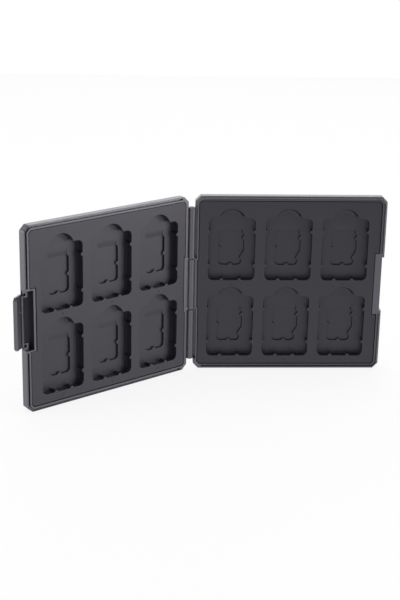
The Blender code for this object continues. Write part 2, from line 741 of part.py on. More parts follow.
def build_latch(half, pivot):
    """The latch: plate with hook lip and inner rib, and a root round the pin, swung open."""
    half_h = LATCH_HEIGHT / 2
    short, full = plate_profile(LATCH_LENGTH - LATCH_TIP_CHAMFER), plate_profile(LATCH_LENGTH)
    plate = latch_solid("latch", [
        (-half_h, short), (LATCH_TIP_CHAMFER - half_h, full),
        (half_h - LATCH_TIP_CHAMFER, full), (half_h, short),
    ])
    item = half.add("latch", plate, pivot)
    rib_top = LATCH_RIB_HEIGHT / 2
    section = [(OVERLAP, LATCH_PLATE_START), (OVERLAP, LATCH_RIB_END),
               (-LATCH_PLATE, LATCH_RIB_END), (-LATCH_PLATE, LATCH_PLATE_START)]
    rib = latch_solid("latch_rib", [(-rib_top, section), (rib_top, section)])
    join(item, half.add("latch_rib", rib, pivot))
    root_top = LATCH_ROOT_HEIGHT / 2
    root = latch_solid("latch_root", [(-root_top, root_profile()), (root_top, root_profile())])
    join(item, half.add("latch_root", root, pivot))
    bore = latch_rod("latch_bore", LATCH_PIN_RADIUS + LATCH_PIN_CLEARANCE, half_h)
    cut(item, half.add("latch_bore", bore, pivot))
    nib = bmesh.new()
    bmesh.ops.create_icosphere(nib, subdivisions=2, radius=LATCH_NIB_RADIUS)
    seat = (LATCH_NIB_SINK, LATCH_NIB_REACH, LATCH_NIB_HEIGHT)
    bmesh.ops.translate(nib, verts=nib.verts, vec=seat)
    nib_data = bpy.data.meshes.new("latch_nib")
    nib.to_mesh(nib_data)
    nib.free()
    join(item, half.add("latch_nib", nib_data, pivot))
    finish(item, (0.021, 0.021, 0.023), 0.4)
    return item


def latch_rod(name, radius, half_length):
    """A round bar on the latch's own axis."""
    build = bmesh.new()
    bmesh.ops.create_cone(build, cap_ends=True, segments=ROUND_SIDES,
                          radius1=radius, radius2=radius, depth=2 * half_length)
    data = bpy.data.meshes.new(name)
    build.to_mesh(data)
    build.free()
    return data


def build_latch_pin(half, pivot):
    """The latch's steel pin, snapped into the bearing at each end of the window."""
    length = WINDOW_HEIGHT / 2 - LATCH_PIN_RECESS
    item = half.add("latch_pin", latch_rod("latch_pin", LATCH_PIN_RADIUS, length), pivot)
    finish(item, (0.55, 0.55, 0.56), 0.3, 1.0)
    return item


def main():
    """Builds the case, open as it stands."""
    clear_scene()
    base = Half("base_frame", BASE_SIDE, 0.0)
    lid = Half("lid_frame", LID_SIDE, -LID_OPENING)
    pivot = bpy.data.objects.new("latch_frame", None)
    bpy.context.scene.collection.objects.link(pivot)
    pivot.parent = lid.frame
    pivot.location = lid.place(PIVOT_U, PIVOT_T, 0)
    pivot.rotation_euler = (0, 0, -LATCH_OPENING)

    build_base_shell(base)
    build_base_tray(base)
    build_lid_shell(lid)
    build_lid_tray(lid)
    build_hinge_pin(lid)
    build_latch(lid, pivot)
    build_latch_pin(lid, pivot)


main()
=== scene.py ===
"""Game card case standing open: finer mouldings, finishes, light and camera round the frame.

Each half is drawn in its own panel coordinates, in metres. u runs from the hinge axis to the
free edge, t runs from the hinge plane into the half and z is up from the panel's middle.
"""

import logging
import math
from dataclasses import dataclass, field
from enum import Enum

import bmesh
import bpy
from mathutils import Matrix, Vector


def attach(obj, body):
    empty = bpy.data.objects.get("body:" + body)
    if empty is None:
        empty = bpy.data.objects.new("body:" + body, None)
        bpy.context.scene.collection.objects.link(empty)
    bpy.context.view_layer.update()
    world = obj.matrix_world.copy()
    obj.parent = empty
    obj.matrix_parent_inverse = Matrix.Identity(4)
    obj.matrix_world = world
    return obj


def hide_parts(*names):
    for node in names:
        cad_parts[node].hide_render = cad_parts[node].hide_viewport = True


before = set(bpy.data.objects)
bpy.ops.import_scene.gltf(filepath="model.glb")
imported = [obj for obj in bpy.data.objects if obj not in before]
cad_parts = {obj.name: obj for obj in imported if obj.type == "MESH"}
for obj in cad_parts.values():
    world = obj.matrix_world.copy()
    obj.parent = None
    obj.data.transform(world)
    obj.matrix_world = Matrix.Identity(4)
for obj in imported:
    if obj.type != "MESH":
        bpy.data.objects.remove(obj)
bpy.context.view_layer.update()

Point = tuple[float, float]
Outline = list[Point]
Spot = tuple[float, float, float]
Colour = tuple[float, float, float]

LOG = logging.getLogger("game_card_case")
MM = 0.001

# How far a cutter runs past a face, and how far joined solids sink into each other.
PAST = 2 * MM
SINK = 0.3 * MM

# Points closer than this are one, and faces that lean less than this are one.
WELD = 0.002 * MM
LEVEL = math.radians(0.4)

# Edges that turn by more than these angles are shaded sharp, and are eased.
SHARP = math.radians(34)
EASED = math.radians(38)


class Half(Enum):
    """The two halves of the case, each with the side of the hinge plane that it lies on."""

    BASE = 1
    LID = -1


class Plan:
    """Outlines in a panel's plane, as lists of points that run counter-clockwise."""

    @staticmethod
    def arc(centre: Point, radius: float, start: float, end: float, count: int) -> Outline:
        """Points of an arc with both of its ends.

        Args:
            centre: Middle of the arc.
            radius: Radius of the arc.
            start: First angle, in degrees.
            end: Last angle, in degrees.
            count: How many straight steps the arc has.

        Returns:
            The points, in order from start to end.
        """
        angles = [math.radians(start + (end - start) * i / count) for i in range(count + 1)]
        return [(centre[0] + radius * math.cos(a), centre[1] + radius * math.sin(a))
                for a in angles]

    @staticmethod
    def rectangle(u0: float, u1: float, z0: float, z1: float) -> Outline:
        """A rectangle between two corners."""
        return [(u0, z0), (u1, z0), (u1, z1), (u0, z1)]

    @staticmethod
    def chamfered(u0: float, u1: float, z0: float, z1: float, leg: float) -> Outline:
        """A rectangle with its corners cut at 45 degrees."""
        return [(u0 + leg, z0), (u1 - leg, z0), (u1, z0 + leg), (u1, z1 - leg),
                (u1 - leg, z1), (u0 + leg, z1), (u0, z1 - leg), (u0, z0 + leg)]

    @staticmethod
    def softened(points: Outline, radius: float, count: int = 3) -> Outline:
        """The same outline with each corner rounded.

        Args:
            points: Outline with plain corners.
            radius: Radius at each corner.
            count: Straight steps in each rounded corner.

        Returns:
            The rounded outline.
        """
        rounded: Outline = []
        size = len(points)
        for i, point in enumerate(points):
            corner = Vector(point)
            back = (Vector(points[i - 1]) - corner).normalized()
            ahead = (Vector(points[(i + 1) % size]) - corner).normalized()
            half_angle = back.angle(ahead) / 2
            reach = radius / math.tan(half_angle)
            middle = corner + (back + ahead).normalized() * (radius / math.sin(half_angle))
            first = corner + back * reach - middle
            last = corner + ahead * reach - middle
            turn = first.angle_signed(last)
            for step in range(count + 1):
                spoke = first.copy()
                spoke.rotate(Matrix.Rotation(-turn * step / count, 2))
                rounded.append(tuple(middle + spoke))
        return rounded

    @staticmethod
    def grown(points: Outline, distance: float | list[float]) -> Outline:
        """The outline moved outwards, or inwards where the distance is negative.

        Args:
            points: Outline that runs counter-clockwise.
            distance: How far each edge moves along its own normal, or one distance per point.

        Returns:
            An outline with as many points.
        """
        moved: Outline = []
        size, sharpest = len(points), 0.3
        distances = distance if isinstance(distance, list) else [distance] * size
        for i, (u, z) in enumerate(points):
            before, after = points[i - 1], points[(i + 1) % size]
            first = Vector((z - before[1], before[0] - u)).normalized()
            second = Vector((after[1] - z, u - after[0])).normalized()
            middle = (first + second).normalized()
            scale = distances[i] / max(sharpest, middle.dot(first))
            moved.append((u + middle.x * scale, z + middle.y * scale))
        return moved

    @staticmethod
    def stepped(points: Outline, reach: float, top: float) -> Outline:
        """A chamfered outline whose hinge side steps out over a middle band.

        Args:
            points: Outline from Plan.chamfered.
            reach: How far the band stands out, or in where it is negative.
            top: Half of the band's height.

        Returns:
            The outline with its step.
        """
        near = points[-1][0]
        step = [(near, top), (near - reach, top), (near - reach, -top), (near, -top)]
        return points[:-1] + step + points[-1:]

    @staticmethod
    def circle(centre: Point, radius: float, count: int) -> Outline:
        """A full circle of the given number of sides."""
        return Plan.arc(centre, radius, 0, 360 * (count - 1) / count, count - 1)

    @staticmethod
    def rounded_edge(radius: float) -> list[Point]:
        """Depth and inset of each step of a rounded edge, from its front to its side."""
        angles = [math.radians(30 * step) for step in range(4)]
        return [(radius * (1 - math.cos(a)), radius * (1 - math.sin(a))) for a in angles]


@dataclass(frozen=True)
class Panel:
    """Sizes that both halves share, and where each half stands in the frame."""

    hinge_reach: float = 1.75 * MM
    width: float = 95.6 * MM
    height: float = 90.8 * MM
    depth: float = 7.8 * MM
    side_depth: float = 4.4 * MM
    foot_depth: float = 2.5 * MM
    corner_chamfer: float = 2.7 * MM
    least_chamfer: float = 0.5 * MM
    corner_round: float = 0.45 * MM
    setback: float = 0.15 * MM
    rim_ease: float = 0.4 * MM
    bevel_round: float = 0.35 * MM
    floor: float = 6.3 * MM
    wall: float = 2.3 * MM
    opening: float = math.radians(143.2)

    @property
    def free_edge(self) -> float:
        """Distance from the hinge axis to the free edge."""
        return self.hinge_reach + self.width

    @property
    def half_height(self) -> float:
        """Half of the panel's height."""
        return self.height / 2

    def matrix(self, half: Half) -> Matrix:
        """Places a half's own coordinates in the frame.

        Args:
            half: The half of the case.

        Returns:
            The matrix.
        """
        turn = 0.0 if half is Half.BASE else -self.opening
        move = Vector((-self.hinge_reach - self.width / 2, -self.foot_depth, self.half_height))
        return Matrix.Translation(move) @ Matrix.Rotation(turn, 4, "Z")

    def chamfer(self, inset: float) -> float:
        """Leg of the corner chamfers where the outline is drawn in by an inset."""
        return max(self.corner_chamfer - inset * (2 - math.sqrt(2)), self.least_chamfer)

    def outline(self, inset: float, hinge_inset: float | None = None) -> Outline:
        """The chamfered outline, drawn in by a wall's thickness.

        Args:
            inset: How far the top, bottom and free edge are drawn in.
            hinge_inset: How far the hinge side is drawn in, if that differs.

        Returns:
            The outline, counter-clockwise.
        """
        hinge_inset = inset if hinge_inset is None else hinge_inset
        leg, edge = self.chamfer(inset), self.half_height - inset
        plain = Plan.chamfered(self.hinge_reach + hinge_inset, self.free_edge - inset,
                               -edge, edge, leg)
        return Plan.softened(plain, min(self.corner_round, leg * 0.8))

    def rim_strip(self, outer: float, inner: float, start: float, stop: float,
                  side: int) -> Outline:
        """A strip along the top or bottom wall, round the corner and down the free edge.

        Args:
            outer: Inset of the strip's outer side.
            inner: Inset of the strip's inner side.
            start: Where it starts, as a distance from the hinge axis.
            stop: Height at which it ends on the free edge.
            side: 1 for the upper strip, -1 for its mirror image below.

        Returns:
            The outline, counter-clockwise.
        """
        def run(inset: float) -> Outline:
            """One side of the strip.

            Args:
                inset: How far it is drawn in.

            Returns:
                Its points, away from the hinge.
            """
            edge, far = self.half_height - inset, self.free_edge - inset
            leg = self.chamfer(inset)
            return [(start, edge), (far - leg, edge), (far, edge - leg), (far, stop)]

        points = [(u, side * z) for u, z in run(inner) + run(outer)[::-1]]
        return points[::side]


PANEL = Panel()


def placed(name: str, data: bpy.types.ID) -> bpy.types.Object:
    """A new object in the scene that shows a mesh, a lamp or a camera.

    Args:
        name: Name of the object.
        data: The mesh, lamp or camera.

    Returns:
        The object.
    """
    item = bpy.data.objects.new(name, data)
    bpy.context.scene.collection.objects.link(item)
    return item


@dataclass
class Moulding:
    """A mesh under construction in one half's coordinates, cut and joined by Booleans."""

    name: str
    half: Half
    mesh: bmesh.types.BMesh = field(default_factory=bmesh.new)

    def point(self, u: float, t: float, z: float) -> Vector:
        """Panel coordinates as a point of this half."""
        return Vector((u, self.half.value * t, z))

    def through(self, rings: list[list[Spot]]) -> "Moulding":
        """Adds a closed solid through rings that all have as many points.

        Args:
            rings: The points of each ring, in the half's coordinates.

        Returns:
            The moulding itself.
        """
        made = [[self.mesh.verts.new(self.point(*spot)) for spot in ring] for ring in rings]
        size = len(made[0])
        faces = [made[0], made[-1][::-1]]
        for near, far in zip(made, made[1:]):
            faces += [[near[(i + 1) % size], near[i], far[i], far[(i + 1) % size]]
                      for i in range(size)]
        skin = [self.mesh.faces.new(face[::self.half.value]) for face in faces]
        bmesh.ops.recalc_face_normals(self.mesh, faces=skin)
        return self

    def loft(self, sections: list[tuple[float, Outline]]) -> "Moulding":
        """Adds a solid through outlines in u and z, each given with its depth."""
        return self.through([[(u, t, z) for u, z in outline] for t, outline in sections])

    def upright(self, levels: list[tuple[float, Outline]]) -> "Moulding":
        """Adds a solid through cross-sections in u and t, each given with its height."""
        return self.through([[(u, t, z) for u, t in outline] for z, outline in levels])

    def prism(self, outline: Outline, t0: float, t1: float) -> "Moulding":
        """Adds a solid of one outline between two depths."""
        return self.loft([(t0, outline), (t1, outline)])

    def bar(self, section: Outline, top: float) -> "Moulding":
        """Adds an upright bar of one cross-section, as far up as down."""
        return self.upright([(-top, section), (top, section)])

    def box(self, u0: float, u1: float, t0: float, t1: float, top: float,
            bottom: float | None = None) -> "Moulding":
        """Adds a box, as far up as down where no bottom is given.

        Args:
            u0: Side towards the hinge.
            u1: Side towards the free edge.
            t0: Front.
            t1: Back.
            top: Upper end.
            bottom: Lower end, if that differs from -top.

        Returns:
            The moulding itself.
        """
        low = -top if bottom is None else bottom
        return self.prism(Plan.rectangle(u0, u1, low, top), t0, t1)

    def rod(self, u: float, t: float, radius: float, top: float, bottom: float | None = None,
            ease: float = 0.0, sides: int = 48) -> "Moulding":
        """Adds an upright round bar, as far up as down where no bottom is given.

        Args:
            u: Distance of its axis from the hinge axis.
            t: Depth of its axis.
            radius: Radius of the bar.
            top: Upper end.
            bottom: Lower end, if that differs from -top.
            ease: Chamfer at each end.
            sides: Number of sides.

        Returns:
            The moulding itself.
        """
        low = -top if bottom is None else bottom
        levels = [(low, radius - ease), (low + ease, radius), (top - ease, radius),
                  (top, radius - ease)]
        rings = []
        for z, size in levels if ease else levels[1:-1]:
            ring = [self.mesh.verts.new(self.point(a, b, z))
                    for a, b in Plan.circle((u, t), size, sides)]
            rings.append(ring[::self.half.value])
        faces = [rings[0][::-1], rings[-1]]
        for below, above in zip(rings, rings[1:]):
            faces += [[below[i - 1], below[i], above[i], above[i - 1]]
                      for i in [*range(1, sides), 0]]
        for face in faces:
            self.mesh.faces.new(face)
        return self

    def ball(self, u: float, t: float, z: float, radius: float) -> "Moulding":
        """Adds a small round nib."""
        bmesh.ops.create_icosphere(self.mesh, subdivisions=3, radius=radius,
                                   matrix=Matrix.Translation(self.point(u, t, z)))
        return self

    def tool(self) -> "Moulding":
        """An empty moulding of the same half, to cut or join with."""
        return Moulding(f"{self.name}_tool", self.half)

    def combined(self, tool: "Moulding", operation: str) -> "Moulding":
        """Applies a Boolean with another moulding and keeps the result.

        Args:
            tool: The other moulding, used up by this.
            operation: UNION or DIFFERENCE.

        Returns:
            The moulding itself.
        """
        body, other = self.linked(), tool.linked()
        step = body.modifiers.new("Boolean", "BOOLEAN")
        step.operation, step.solver, step.object = operation, "EXACT", other
        graph = bpy.context.evaluated_depsgraph_get()
        result = bpy.data.meshes.new_from_object(body.evaluated_get(graph))
        self.mesh = bmesh.new()
        self.mesh.from_mesh(result)
        for item in (body, other):
            data = item.data
            bpy.data.objects.remove(item)
            bpy.data.meshes.remove(data)
        bpy.data.meshes.remove(result)
        return self

    def join(self, tool: "Moulding") -> "Moulding":
        """Fuses another moulding with this one."""
        return self.combined(tool, "UNION")

    def cut(self, tool: "Moulding") -> "Moulding":
        """Cuts another moulding out of this one."""
        return self.combined(tool, "DIFFERENCE")

    def linked(self) -> bpy.types.Object:
        """Moves the mesh into a scene object and lets go of it here.

        Returns:
            The object.
        """
        data = bpy.data.meshes.new(self.name)
        self.mesh.to_mesh(data)
        self.mesh.free()
        return placed(self.name, data)

    def finished(self, ease: float, matrix: Matrix) -> bpy.types.Object:
        """The piece as a scene object with eased edges and smooth shading.

        Args:
            ease: Width of the small bevel on its sharp edges, or 0 for none.
            matrix: Where its coordinates lie in the frame.

        Returns:
            The object.
        """
        bmesh.ops.remove_doubles(self.mesh, verts=self.mesh.verts, dist=WELD)
        bmesh.ops.dissolve_limit(self.mesh, angle_limit=LEVEL,
                                 verts=self.mesh.verts, edges=self.mesh.edges)
        item = self.linked()
        item.matrix_world = matrix
        item.data.shade_smooth()
        item.data.set_sharp_from_angle(angle=SHARP)
        if ease:
            bevel = item.modifiers.new("Eased edges", "BEVEL")
            bevel.width, bevel.segments = ease, 2
            bevel.limit_method, bevel.angle_limit = "ANGLE", EASED
            bevel.miter_outer = "MITER_ARC"
            bevel.use_clamp_overlap = True
        weighted = item.modifiers.new("Flat faces stay flat", "WEIGHTED_NORMAL")
        weighted.keep_sharp = True
        return item


class Wire:
    """A shader socket that can be used in arithmetic. Each operator adds its Math node."""

    def __init__(self, shader: "Shader", socket: bpy.types.NodeSocket) -> None:
        """Keeps the socket and the shader that it belongs to."""
        self.shader, self.socket = shader, socket

    def math(self, operation: str, *values: "Wire | float") -> "Wire":
        """Adds one Math node with this wire and the given values as its inputs."""
        inputs = dict(enumerate((self, *values)))
        return self.shader.node("ShaderNodeMath", {"operation": operation}, inputs)

    def __add__(self, other: "Wire | float") -> "Wire":
        """Sum."""
        return self.math("ADD", other)

    __radd__ = __add__

    def __mul__(self, other: "Wire | float") -> "Wire":
        """Product."""
        return self.math("MULTIPLY", other)

    __rmul__ = __mul__

    def __sub__(self, other: "Wire | float") -> "Wire":
        """Difference."""
        return self.math("SUBTRACT", other)

    def __rsub__(self, other: float) -> "Wire":
        """Difference from a number."""
        return self * -1.0 + other

    def clamped(self) -> "Wire":
        """The value held between 0 and 1."""
        return self.shader.node("ShaderNodeClamp", {}, {"Value": self})

    def spread(self, low: float, high: float) -> "Wire":
        """A 0 to 1 value stretched to run from low to high."""
        return self * (high - low) + low


class Shader:
    """A material or world under construction, with one method for every node."""

    def __init__(self, owner: bpy.types.Material | bpy.types.World) -> None:
        """Empties the owner's node tree.

        Args:
            owner: The material or the world.
        """
        owner.use_nodes = True
        self.tree = owner.node_tree
        self.tree.nodes.clear()

    def node(self, kind: str, settings: dict[str, object],
             inputs: dict[str | int, "Wire | object"], output: str | int = 0) -> Wire:
        """Adds a node.

        Args:
            kind: The node's type, such as ShaderNodeBump.
            settings: Its properties, set first. The key stops holds a ramp's stops.
            inputs: Values or wires for its sockets, by name or number.
            output: The output that is returned.

        Returns:
            The chosen output.
        """
        made = self.tree.nodes.new(kind)
        for key, value in settings.items():
            if key == "stops":
                self.set_stops(made.color_ramp, value)
            else:
                setattr(made, key, value)
        for key, value in inputs.items():
            if isinstance(value, Wire):
                self.tree.links.new(value.socket, made.inputs[key])
            else:
                made.inputs[key].default_value = value
        if isinstance(output, str):
            return Wire(self, made.outputs[output])
        enabled = [socket for socket in made.outputs if socket.enabled]
        return Wire(self, enabled[output]) if enabled else None

    @staticmethod
    def set_stops(ramp: bpy.types.ColorRamp, stops: list[tuple[float, float]]) -> None:
        """Gives a colour ramp grey stops, as (position, level).

        Args:
            ramp: The ramp of a node.
            stops: Position and grey level of each stop.
        """
        while len(ramp.elements) < len(stops):
            ramp.elements.new(0.5)
        for element, (position, level) in zip(ramp.elements, stops):
            element.position = position
            element.color = (level, level, level, 1.0)

    def place(self, kind: str = "Object") -> Wire:
        """The surface's own coordinates in metres, or those of another kind."""
        return self.node("ShaderNodeTexCoord", {}, {}, kind)

    def stretched(self, vector: Wire, upright: float) -> Wire:
        """Coordinates with a smaller upright scale, which draws a pattern out in height."""
        return self.node("ShaderNodeVectorMath", {"operation": "MULTIPLY"},
                         {0: vector, 1: (1.0, 1.0, upright)})

    def noise(self, vector: Wire, scale: float, detail: float = 3.0) -> Wire:
        """Even noise from 0 to 1, with the given number of cells in a metre."""
        return self.node("ShaderNodeTexNoise", {},
                         {"Vector": vector, "Scale": scale, "Detail": detail})

    def tinted(self, factor: Wire, first: Colour, second: Colour) -> Wire:
        """A colour between two others."""
        return self.node("ShaderNodeMix", {"data_type": "RGBA"},
                         {0: factor, 6: (*first, 1.0), 7: (*second, 1.0)})

    def bump(self, height: Wire, strength: float, distance: float,
             normal: Wire | None = None) -> Wire:
        """A Bump node for a height in the given distance.

        Args:
            height: The height over the surface.
            strength: How strongly it shows.
            distance: Height in metres that a value of 1 stands for.
            normal: A normal that it adds to.

        Returns:
            The changed normal.
        """
        inputs = {"Height": height, "Strength": strength, "Distance": distance}
        if normal is not None:
            inputs["Normal"] = normal
        return self.node("ShaderNodeBump", {}, inputs)

    def end(self, surface: Wire, kind: str = "ShaderNodeOutputMaterial") -> None:
        """Links a surface to the output."""
        self.node(kind, {}, {"Surface": surface})


@dataclass(frozen=True)
class MouldedPlastic:
    """Black polypropylene off a spark-eroded tool: fine grain, faint flow marks, rubbed spots."""

    name: str
    colour: Colour
    dusty: Colour
    roughness: float
    gloss: float = 2.08
    sheen: Colour = (0.92, 0.89, 1.0)
    grain: float = 0.22
    grain_size: float = 0.28 * MM
    grain_height: float = 0.03 * MM
    flow: float = 0.12
    flow_size: float = 14 * MM
    flow_height: float = 0.2 * MM
    streak_scale: float = 0.12
    rub_size: float = 3.1 * MM
    rub_stops: tuple[Point, Point] = ((0.56, 0.0), (0.74, 1.0))
    swing: float = 0.05
    seed: float = 0.0

    def material(self) -> bpy.types.Material:
        """Builds the finish.

        Returns:
            The material.
        """
        made = bpy.data.materials.new(self.name)
        shader = Shader(made)
        place = shader.node("ShaderNodeVectorMath", {"operation": "ADD"},
                            {0: shader.place(), 1: (self.seed, self.seed * 2, 0.0)})
        grain = shader.noise(place, 1 / self.grain_size, 2.0)
        cloud = shader.noise(place, 1 / self.flow_size)
        streaks = shader.noise(shader.stretched(place, self.streak_scale),
                               4 / self.flow_size, 4.0)
        rubs = shader.node("ShaderNodeValToRGB", {"stops": self.rub_stops},
                           {0: shader.noise(place, 1 / self.rub_size, 5.0)})
        tint = (cloud * 0.6 + streaks * 0.4).clamped()
        rough = (tint.spread(self.roughness - self.swing, self.roughness + self.swing)
                 - rubs * self.swing + (grain - 0.5) * self.swing)
        skin = shader.bump(grain, self.grain, self.grain_height)
        surface = shader.node("ShaderNodeBsdfPrincipled", {}, {
            "Base Color": shader.tinted(tint, self.colour, self.dusty), "Roughness": rough,
            "Normal": shader.bump(cloud, self.flow, self.flow_height, skin),
            "IOR": self.gloss, "Specular Tint": (*self.sheen, 1.0),
        })
        shader.end(surface)
        made.diffuse_color = (*self.colour, 1.0)
        return made


@dataclass(frozen=True)
class DrawnSteel:
    """Bright steel wire with drawing lines along it and a little handling haze."""

    name: str
    colour: Colour = (0.56, 0.56, 0.57)
    haze: Colour = (0.42, 0.42, 0.43)
    roughness: float = 0.28
    line_scale: float = 9000.0
    line_stretch: float = 0.02
    line_height: float = 0.02 * MM
    haze_scale: float = 500.0

    def material(self) -> bpy.types.Material:
        """Builds the finish.

        Returns:
            The material.
        """
        made = bpy.data.materials.new(self.name)
        shader = Shader(made)
        place = shader.place()
        lines = shader.noise(shader.stretched(place, self.line_stretch), self.line_scale)
        haze = shader.noise(place, self.haze_scale)
        surface = shader.node("ShaderNodeBsdfPrincipled", {}, {
            "Base Color": shader.tinted(haze, self.colour, self.haze),
            "Roughness": lines.spread(self.roughness - 0.08, self.roughness + 0.14),
            "Normal": shader.bump(lines, 0.2, self.line_height), "Metallic": 1.0,
        })
        shader.end(surface)
        made.diffuse_color = (*self.colour, 1.0)
        return made


@dataclass(frozen=True)
class WhiteSweep:
    """The pale studio floor. The camera and mirrors see it near white, with the shadow kept."""

    name: str = "white_sweep"
    colour: Colour = (0.86, 0.86, 0.86)
    darker: Colour = (0.84, 0.84, 0.84)
    lift: float = 0.84

    def material(self) -> bpy.types.Material:
        """Builds the finish.

        Returns:
            The material.
        """
        made = bpy.data.materials.new(self.name)
        shader = Shader(made)
        grain = shader.noise(shader.place(), 220.0)
        plain = shader.node("ShaderNodeBsdfPrincipled", {}, {
            "Base Color": shader.tinted(grain, self.colour, self.darker),
            "Roughness": grain.spread(0.75, 0.85),
        })
        glow = shader.node("ShaderNodeEmission", {}, {"Strength": 1.0})
        seen = Studio.seen_directly(shader)
        shader.end(shader.node("ShaderNodeMixShader", {},
                               {0: seen * self.lift, 1: plain, 2: glow}))
        return made


@dataclass(frozen=True)
class PocketSizes:
    """Sizes of one game card pocket and the memory card recess in its floor."""

    width: float = 23.4 * MM
    height: float = 32.1 * MM
    floor: float = 4.26 * MM
    corner: float = 2.6 * MM
    mouth_round: float = 0.16 * MM
    cove: float = 0.12 * MM
    cove_drop: float = 1.4
    nub: float = 1.0 * MM
    side_nub_spacing: float = 17.6 * MM
    side_nub_rise: float = 0.25 * MM
    foot_nub_spacing: float = 9.0 * MM
    nub_shift: float = -0.3 * MM
    thumb_radius: float = 6.95 * MM
    thumb_rise: float = 4.75 * MM
    thumb_fillet: float = 0.8 * MM
    thumb_run: float = 2.6 * MM
    thumb_drop: float = 3.0
    thumb_hollow: float = 0.3
    thumb_share: float = 0.95
    memory_width: float = 12.95 * MM
    memory_step: float = 1.2 * MM
    memory_bottom: float = -9.15 * MM
    memory_top: float = 8.85 * MM
    memory_depth: float = 1.0 * MM
    memory_draft: float = 0.3 * MM
    memory_steep: float = 0.15
    memory_steps: tuple[Point, ...] = ((0.0, 0.0), (0.55, 0.25), (0.85, 0.6), (1.0, 1.0))
    memory_corner: float = 1.5 * MM
    memory_foot_corner: float = 2.1 * MM
    memory_nub: float = 1.05 * MM
    memory_nub_height: float = -0.4 * MM
    memory_foot_nub: float = 1.05 * MM
    memory_step_top: float = -1.6 * MM
    memory_step_nub: float = -5.4 * MM
    memory_step_nub_radius: float = 0.85 * MM
    memory_shoulder: float = 4.0 * MM
    shoulder_nub: tuple[Point, ...] = ((0.0, -0.15), (0.7, 0.15), (1.05, 0.65), (0.95, 1.1),
                                       (0.0, 2.1), (0.0, 2.7), (0.825, 3.3))
    memory_neck: float = 5.65 * MM
    ramp_width: float = 10.9 * MM
    ramp_length: float = 3.05 * MM
    ramp_bend: float = 1.5 * MM
    ramp_depth: float = 0.3 * MM
    ramp_share: float = 0.4
    gate_drop: float = 1.9 * MM
    gate_radius: float = 0.35 * MM
    gate_depth: float = 0.25 * MM

    @property
    def thumb_centre(self) -> float:
        """Height of the thumb notch's centre over the pocket's top edge."""
        return self.thumb_rise - self.thumb_radius

    @property
    def thumb_joint(self) -> tuple[float, float]:
        """Half width at which the notch's fillets start, and the lean of their spokes.

        Returns:
            The half width, and the lean in degrees.
        """
        lift = self.thumb_fillet - self.thumb_centre
        spoke = self.thumb_radius + self.thumb_fillet
        reach = math.sqrt(spoke ** 2 - lift ** 2)
        return reach, math.degrees(math.atan2(lift, reach))

    def slot(self, u: float, z: float) -> tuple[Outline, list[float]]:
        """The pocket's outline, and how far the cove at the foot of its wall reaches in.

        Args:
            u: Middle of the pocket across.
            z: Middle of the pocket in height.

        Returns:
            The outline, and the reach at each of its points.
        """
        half_w, half_h, r, nub = self.width / 2, self.height / 2, self.corner, self.nub
        left, right, low, top = u - half_w, u + half_w, z - half_h, z + half_h
        middle, rise = z + self.side_nub_rise, self.side_nub_spacing / 2
        before = Plan.arc((left + r, low + r), r, 180, 270, 8)
        for side in (-1, 1):
            foot = u + self.nub_shift + side * self.foot_nub_spacing / 2
            before += Plan.arc((foot, low), nub, 180, 0, 8)
        before += Plan.arc((right - r, low + r), r, 270, 360, 8)
        for height in (middle - rise, middle + rise):
            before += Plan.arc((right, height), nub, 270, 90, 8)
        before += Plan.arc((right - r, top - r), r, 0, 90, 8)
        after = Plan.arc((left + r, top - r), r, 90, 180, 8)
        for height in (middle + rise, middle - rise):
            after += Plan.arc((left, height), nub, 90, -90, 8)
        thumb = self.thumb(u, top)
        coves = [self.thumb_cove(height - top) for _, height in thumb]
        coves = [self.cove] * len(before) + coves + [self.cove] * len(after)
        return before + thumb + after, coves

    def thumb(self, u: float, top: float) -> Outline:
        """The thumb notch, from right to left, with its fillets.

        Args:
            u: Middle of the pocket across.
            top: Height of the pocket's top edge.

        Returns:
            The notch's part of the outline.
        """
        reach, lean = self.thumb_joint
        f = self.thumb_fillet
        right = Plan.arc((u + reach, top + f), f, 270, 180 + lean, 4)
        crown = Plan.arc((u, top + self.thumb_centre), self.thumb_radius, lean, 180 - lean, 24)
        left = Plan.arc((u - reach, top + f), f, -lean, -90, 4)
        return right + crown[1:-1] + left

    def thumb_cove(self, height: float) -> float:
        """How far the notch's scooped wall reaches in, at a height over the pocket's top.

        Args:
            height: Height over the pocket's top edge.

        Returns:
            The reach.
        """
        flattest = 0.3
        sine = max((height - self.thumb_centre) / self.thumb_radius, flattest)
        reach = self.thumb_share * (self.thumb_radius + self.thumb_centre / sine)
        return min(self.thumb_run, max(self.cove * 0.6, reach))

    def memory(self, u: float, z: float) -> Outline:
        """The memory card recess, stepped on the side away from the hinge.

        Args:
            u: Middle of the pocket across.
            z: Middle of the pocket in height.

        Returns:
            The outline.
        """
        left, right = u - self.memory_width / 2, u + self.memory_width / 2
        narrow, r = right - self.memory_step, self.memory_corner
        low, top = z + self.memory_bottom, z + self.memory_top
        foot, neck = self.memory_foot_corner, u + self.memory_neck
        shoulder = z + self.memory_shoulder
        points = Plan.arc((left + foot, low + foot), foot, 180, 270, 6)
        points += Plan.arc((u + self.nub_shift, low), self.memory_foot_nub, 180, 0, 6)
        points += Plan.arc((narrow - foot, low + foot), foot, 270, 360, 6)
        points += Plan.arc((narrow, z + self.memory_step_nub), self.memory_step_nub_radius,
                           270, 150, 4)
        points += [(right, z + self.memory_step_top)]
        points += [(right - a * MM, shoulder + b * MM) for a, b in self.shoulder_nub]
        points += [(neck, top)]
        points += Plan.arc((left + r, top - r), r, 90, 180, 5)
        points += Plan.arc((left, z + self.memory_nub_height), self.memory_nub, 90, -90, 6)
        return points


